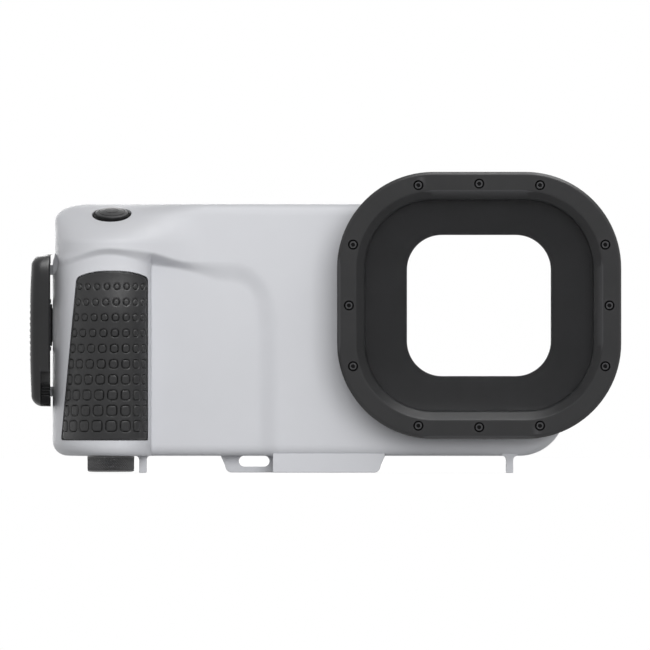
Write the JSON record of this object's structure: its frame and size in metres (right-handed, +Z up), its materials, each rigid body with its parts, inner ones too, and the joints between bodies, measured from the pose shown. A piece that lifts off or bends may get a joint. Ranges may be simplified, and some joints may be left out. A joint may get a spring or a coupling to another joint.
{
  "type": "underwater camera housing",
  "caption": "Clamshell dive housing for a telephone used as a camera, with flat lens port, rubber grip, side latch, hinged clear rear door and sealed buttons.",
  "frame": {"origin": "middle of the overall footprint, on the surface that the foot ribs stand on", "axes": "+X towards the lens port end, +Y towards the rear door, +Z up"},
  "size_m": [0.2366, 0.06, 0.1204],
  "materials": {
    "shell_white": "smooth satin moulded white plastic",
    "rubber_black": "soft matte rubber with outlined pads",
    "seal_black": "matte seal rubber",
    "plastic_black": "fine textured black plastic",
    "bezel_black": "satin black moulded frame",
    "glass_clear": "clear polished",
    "steel": "plain stainless",
    "steel_black": "blackened stainless",
    "brass": "plain turned",
    "board_green": "circuit board",
    "cell_wrap": "bare battery wrap"
  },
  "bodies": {
    "housing": {"front_shell": "shell_white", "grip_cover": "rubber_black", "tripod_insert": "brass", "hinge_pin": "steel", "latch_pin_low": "brass", "latch_pin_high": "brass", "port_hood": "plastic_black", "hood_gasket": "seal_black", "port_seal": "seal_black", "port_glass": "glass_clear", "port_bezel": "bezel_black", "port_screw_01": "steel_black", "port_screw_02": "steel_black", "port_screw_03": "steel_black", "port_screw_04": "steel_black", "port_screw_05": "steel_black", "port_screw_06": "steel_black", "port_screw_07": "steel_black", "port_screw_08": "steel_black", "port_screw_09": "steel_black", "port_screw_10": "steel_black", "port_screw_11": "steel_black", "port_screw_12": "steel_black", "shutter_switch": "plastic_black", "control_board": "board_green", "battery_cell": "cell_wrap", "battery_contact": "steel", "phone_tray": "plastic_black", "phone_bumper": "rubber_black", "clamp_spring_1": "steel", "clamp_spring_2": "steel", "shutter_collar": "plastic_black", "shutter_spring": "steel"},
    "door": {"door_frame": "shell_white", "door_window": "glass_clear", "window_seal": "seal_black", "window_bezel": "plastic_black", "door_seal": "seal_black", "door_catch": "steel", "rear_collar_1": "plastic_black", "rear_collar_2": "plastic_black", "rear_collar_3": "plastic_black", "rear_spring_1": "steel", "rear_spring_2": "steel", "rear_spring_3": "steel"},
    "shutter": {"shutter_button": "plastic_black"},
    "clamp": {"phone_clamp": "plastic_black"},
    "cap_slide": {"cap_seal": "seal_black"},
    "cap": {"battery_cap": "plastic_black"},
    "lever": {"latch_lever": "plastic_black", "latch_claw_pin": "steel"},
    "claw": {"latch_claw": "steel_black"},
    "lock": {"latch_lock": "plastic_black"},
    "rear_button_1": {"rear_button_1": "plastic_black", "rear_clip_1": "steel"},
    "rear_button_2": {"rear_button_2": "plastic_black", "rear_clip_2": "steel"},
    "rear_button_3": {"rear_button_3": "plastic_black", "rear_clip_3": "steel"}
  },
  "joints": [
    {"name": "door_hinge", "type": "hinge", "parent": "housing", "child": "door", "pos_m": [0.09985, 0.0175, 0.0598], "axis": [0, 0, -1], "range_deg": [0, 120]},
    {"name": "shutter_press", "type": "slide", "parent": "housing", "child": "shutter", "axis": [0, 0.309, -0.9511], "range_m": [0, 0.0015], "stiffness_N_per_m": 500, "springref_m": -0.002, "deforming": ["shutter_spring"]},
    {"name": "clamp_slide", "type": "slide", "parent": "housing", "child": "clamp", "axis": [0, 0, -1], "range_m": [0, 0.009], "stiffness_N_per_m": 250, "springref_m": -0.006, "deforming": ["clamp_spring_1", "clamp_spring_2"]},
    {"name": "cap_travel", "type": "slide", "parent": "housing", "child": "cap_slide", "axis": [0, 0, -1], "range_m": [0, 0.0015]},
    {"name": "cap_turn", "type": "hinge", "parent": "cap_slide", "child": "cap", "pos_m": [-0.08575, -0.0124, 0.004], "axis": [0, 0, -1], "range_deg": [0, 360]},
    {"name": "lever_swing", "type": "hinge", "parent": "housing", "child": "lever", "pos_m": [-0.11185, 0.013, 0.057], "axis": [0, 0, -1], "range_deg": [0, 88]},
    {"name": "claw_swing", "type": "hinge", "parent": "lever", "child": "claw", "pos_m": [-0.11105, 0.007, 0.0592], "axis": [0, 0, -1], "range_deg": [-102, 0]},
    {"name": "lock_slide", "type": "slide", "parent": "lever", "child": "lock", "axis": [0, 0, 1], "range_m": [0, 0.004], "stiffness_N_per_m": 60, "springref_m": -0.003},
    {"name": "rear_press_1", "type": "slide", "parent": "door", "child": "rear_button_1", "axis": [0, -1, 0], "range_m": [0, 0.0015], "stiffness_N_per_m": 500, "springref_m": -0.002, "deforming": ["rear_spring_1"]},
    {"name": "rear_press_2", "type": "slide", "parent": "door", "child": "rear_button_2", "axis": [0, -1, 0], "range_m": [0, 0.0015], "stiffness_N_per_m": 500, "springref_m": -0.002, "deforming": ["rear_spring_2"]},
    {"name": "rear_press_3", "type": "slide", "parent": "door", "child": "rear_button_3", "axis": [0, -1, 0], "range_m": [0, 0.0015], "stiffness_N_per_m": 500, "springref_m": -0.002, "deforming": ["rear_spring_3"]}
  ],
  "couplings": [
    {"joint": "claw_swing", "follows": "lever_swing", "ratio": -1.15},
    {"joint": "cap_travel", "follows": "cap_turn", "m_per_rad": 0.0002387}
  ]
}
